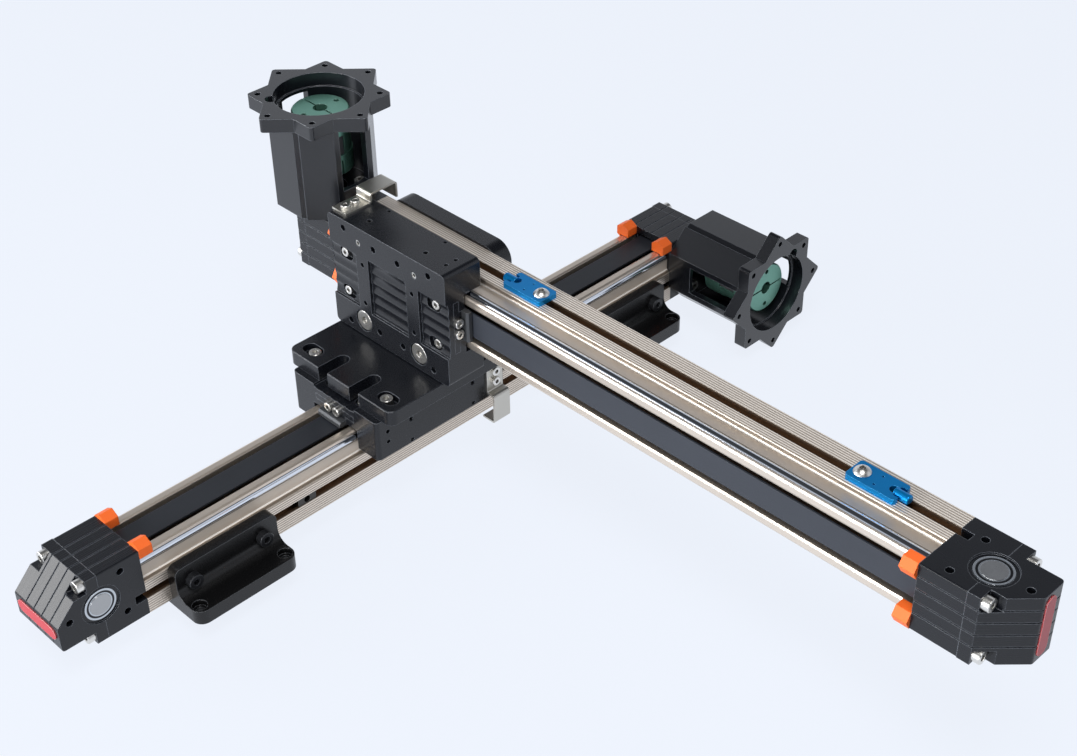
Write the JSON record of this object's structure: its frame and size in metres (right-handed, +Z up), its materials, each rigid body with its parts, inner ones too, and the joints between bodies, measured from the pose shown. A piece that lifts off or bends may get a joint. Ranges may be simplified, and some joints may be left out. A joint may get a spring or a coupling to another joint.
{
  "type": "belt-driven linear module",
  "caption": "Two crossed belt-driven linear modules: aluminium beams with roller carriages on chromed rods, pulley end blocks, open motor mounts with couplings, and feet.",
  "frame": {"origin": "middle of the lower beam's length, on its centreline, on the plane of the feet's undersides", "axes": "+Y along the lower beam towards its motor, +X along the upper beam towards its free end, +Z up"},
  "size_m": [0.5078, 0.5078, 0.1956],
  "materials": {
    "champagne_aluminium": "satin",
    "black_anodised": "satin",
    "chromed_steel": "polished",
    "belt_rubber": "matte",
    "bright_screws": "satin",
    "dark_screws": "satin",
    "bearing_steel": "polished",
    "pulley_aluminium": "satin",
    "green_hub": "satin",
    "spider_rubber": "matte",
    "orange_bumper": "matte",
    "red_badge": "gloss",
    "grey_tooth_plate": "satin",
    "flag_steel": "satin",
    "blue_plate": "satin",
    "nut_steel": "satin"
  },
  "bodies": {
    "base": {"lower_beam": "champagne_aluminium", "lower_guide_rods": "chromed_steel", "lower_belt": "belt_rubber", "lower_drive_housing": "black_anodised", "lower_idler_housing": "black_anodised", "lower_end_caps": "black_anodised", "lower_badge": "red_badge", "lower_shaft_bearings": "bearing_steel", "lower_motor_mount": "black_anodised", "lower_bumpers": "orange_bumper", "lower_housing_screws": "bright_screws", "feet": "black_anodised", "foot_bolts": "dark_screws", "lower_slot_nuts": "nut_steel"},
    "cross_carriage": {"lower_carriage": "black_anodised", "lower_belt_clamps": "black_anodised", "lower_tooth_plates": "grey_tooth_plate", "lower_carriage_screws": "bright_screws", "lower_sensor_flag": "flag_steel", "lower_roller_studs": "bright_screws", "cross_plate": "black_anodised", "cross_upright": "black_anodised", "cross_screws": "bright_screws", "upper_beam": "champagne_aluminium", "upper_guide_rods": "chromed_steel", "upper_belt": "belt_rubber", "upper_drive_housing": "black_anodised", "upper_idler_housing": "black_anodised", "upper_end_caps": "black_anodised", "upper_badge": "red_badge", "upper_shaft_bearings": "bearing_steel", "upper_motor_mount": "black_anodised", "upper_bumpers": "orange_bumper", "upper_housing_screws": "bright_screws", "upper_slot_nuts": "nut_steel", "sensor_plates": "blue_plate", "sensor_screws": "bright_screws"},
    "tool_carriage": {"upper_carriage": "black_anodised", "upper_belt_clamps": "black_anodised", "upper_tooth_plates": "grey_tooth_plate", "upper_carriage_screws": "bright_screws", "upper_sensor_flag": "flag_steel", "upper_roller_studs": "bright_screws"},
    "lower_idler": {"lower_idler_pulley": "pulley_aluminium"},
    "lower_drive": {"lower_drive_pulley": "pulley_aluminium", "lower_coupling_hubs": "green_hub", "lower_coupling_spider": "spider_rubber"},
    "upper_idler": {"upper_idler_pulley": "pulley_aluminium"},
    "upper_drive": {"upper_drive_pulley": "pulley_aluminium", "upper_coupling_hubs": "green_hub", "upper_coupling_spider": "spider_rubber"},
    "lower_wheel_1": {"lower_roller_1": "bearing_steel"},
    "lower_wheel_2": {"lower_roller_2": "bearing_steel"},
    "lower_wheel_3": {"lower_roller_3": "bearing_steel"},
    "lower_wheel_4": {"lower_roller_4": "bearing_steel"},
    "upper_wheel_1": {"upper_roller_1": "bearing_steel"},
    "upper_wheel_2": {"upper_roller_2": "bearing_steel"},
    "upper_wheel_3": {"upper_roller_3": "bearing_steel"},
    "upper_wheel_4": {"upper_roller_4": "bearing_steel"}
  },
  "joints": [
    {"name": "base_slide", "type": "slide", "parent": "base", "child": "cross_carriage", "axis": [0, 1, 0], "range_m": [-0.132, 0.149]},
    {"name": "arm_slide", "type": "slide", "parent": "cross_carriage", "child": "tool_carriage", "axis": [1, 0, 0], "range_m": [0, 0.28]},
    {"name": "lower_idler_turn", "type": "hinge", "parent": "base", "child": "lower_idler", "pos_m": [0, -0.221, 0.02656], "axis": [1, 0, 0], "range_deg": [-717, 635]},
    {"name": "lower_drive_turn", "type": "hinge", "parent": "base", "child": "lower_drive", "pos_m": [0, 0.221, 0.02656], "axis": [1, 0, 0], "range_deg": [-717, 635]},
    {"name": "upper_idler_turn", "type": "hinge", "parent": "cross_carriage", "child": "upper_idler", "pos_m": [0.363, 0.01284, 0.099], "axis": [0, 0, 1], "range_deg": [0, 1345]},
    {"name": "upper_drive_turn", "type": "hinge", "parent": "cross_carriage", "child": "upper_drive", "pos_m": [-0.079, 0.01284, 0.099], "axis": [0, 0, 1], "range_deg": [0, 1345]},
    {"name": "lower_wheel_1_turn", "type": "hinge", "parent": "cross_carriage", "child": "lower_wheel_1", "pos_m": [0.0252, -0.03135, 0.0358], "axis": [0, 0, 1], "range_deg": [-984, 1110]},
    {"name": "lower_wheel_2_turn", "type": "hinge", "parent": "cross_carriage", "child": "lower_wheel_2", "pos_m": [0.0252, 0.01385, 0.0358], "axis": [0, 0, 1], "range_deg": [-984, 1110]},
    {"name": "lower_wheel_3_turn", "type": "hinge", "parent": "cross_carriage", "child": "lower_wheel_3", "pos_m": [-0.0252, -0.03135, 0.0358], "axis": [0, 0, 1], "range_deg": [-1110, 984]},
    {"name": "lower_wheel_4_turn", "type": "hinge", "parent": "cross_carriage", "child": "lower_wheel_4", "pos_m": [-0.0252, 0.01385, 0.0358], "axis": [0, 0, 1], "range_deg": [-1110, 984]},
    {"name": "upper_wheel_1_turn", "type": "hinge", "parent": "tool_carriage", "child": "upper_wheel_1", "pos_m": [0.02485, 0.0036, 0.1242], "axis": [0, -1, 0], "range_deg": [-2085, 0]},
    {"name": "upper_wheel_2_turn", "type": "hinge", "parent": "tool_carriage", "child": "upper_wheel_2", "pos_m": [-0.02035, 0.0036, 0.1242], "axis": [0, -1, 0], "range_deg": [-2085, 0]},
    {"name": "upper_wheel_3_turn", "type": "hinge", "parent": "tool_carriage", "child": "upper_wheel_3", "pos_m": [0.02485, 0.0036, 0.0738], "axis": [0, -1, 0], "range_deg": [0, 2085]},
    {"name": "upper_wheel_4_turn", "type": "hinge", "parent": "tool_carriage", "child": "upper_wheel_4", "pos_m": [-0.02035, 0.0036, 0.0738], "axis": [0, -1, 0], "range_deg": [0, 2085]}
  ],
  "couplings": [
    {"joint": "lower_idler_turn", "follows": "base_slide", "rad_per_m": -83.776},
    {"joint": "lower_drive_turn", "follows": "base_slide", "rad_per_m": -83.776},
    {"joint": "upper_idler_turn", "follows": "arm_slide", "rad_per_m": 83.776},
    {"joint": "upper_drive_turn", "follows": "arm_slide", "rad_per_m": 83.776},
    {"joint": "lower_wheel_1_turn", "follows": "base_slide", "rad_per_m": 129.87},
    {"joint": "lower_wheel_2_turn", "follows": "base_slide", "rad_per_m": 129.87},
    {"joint": "lower_wheel_3_turn", "follows": "base_slide", "rad_per_m": -129.87},
    {"joint": "lower_wheel_4_turn", "follows": "base_slide", "rad_per_m": -129.87},
    {"joint": "upper_wheel_1_turn", "follows": "arm_slide", "rad_per_m": -129.87},
    {"joint": "upper_wheel_2_turn", "follows": "arm_slide", "rad_per_m": -129.87},
    {"joint": "upper_wheel_3_turn", "follows": "arm_slide", "rad_per_m": 129.87},
    {"joint": "upper_wheel_4_turn", "follows": "arm_slide", "rad_per_m": 129.87}
  ]
}
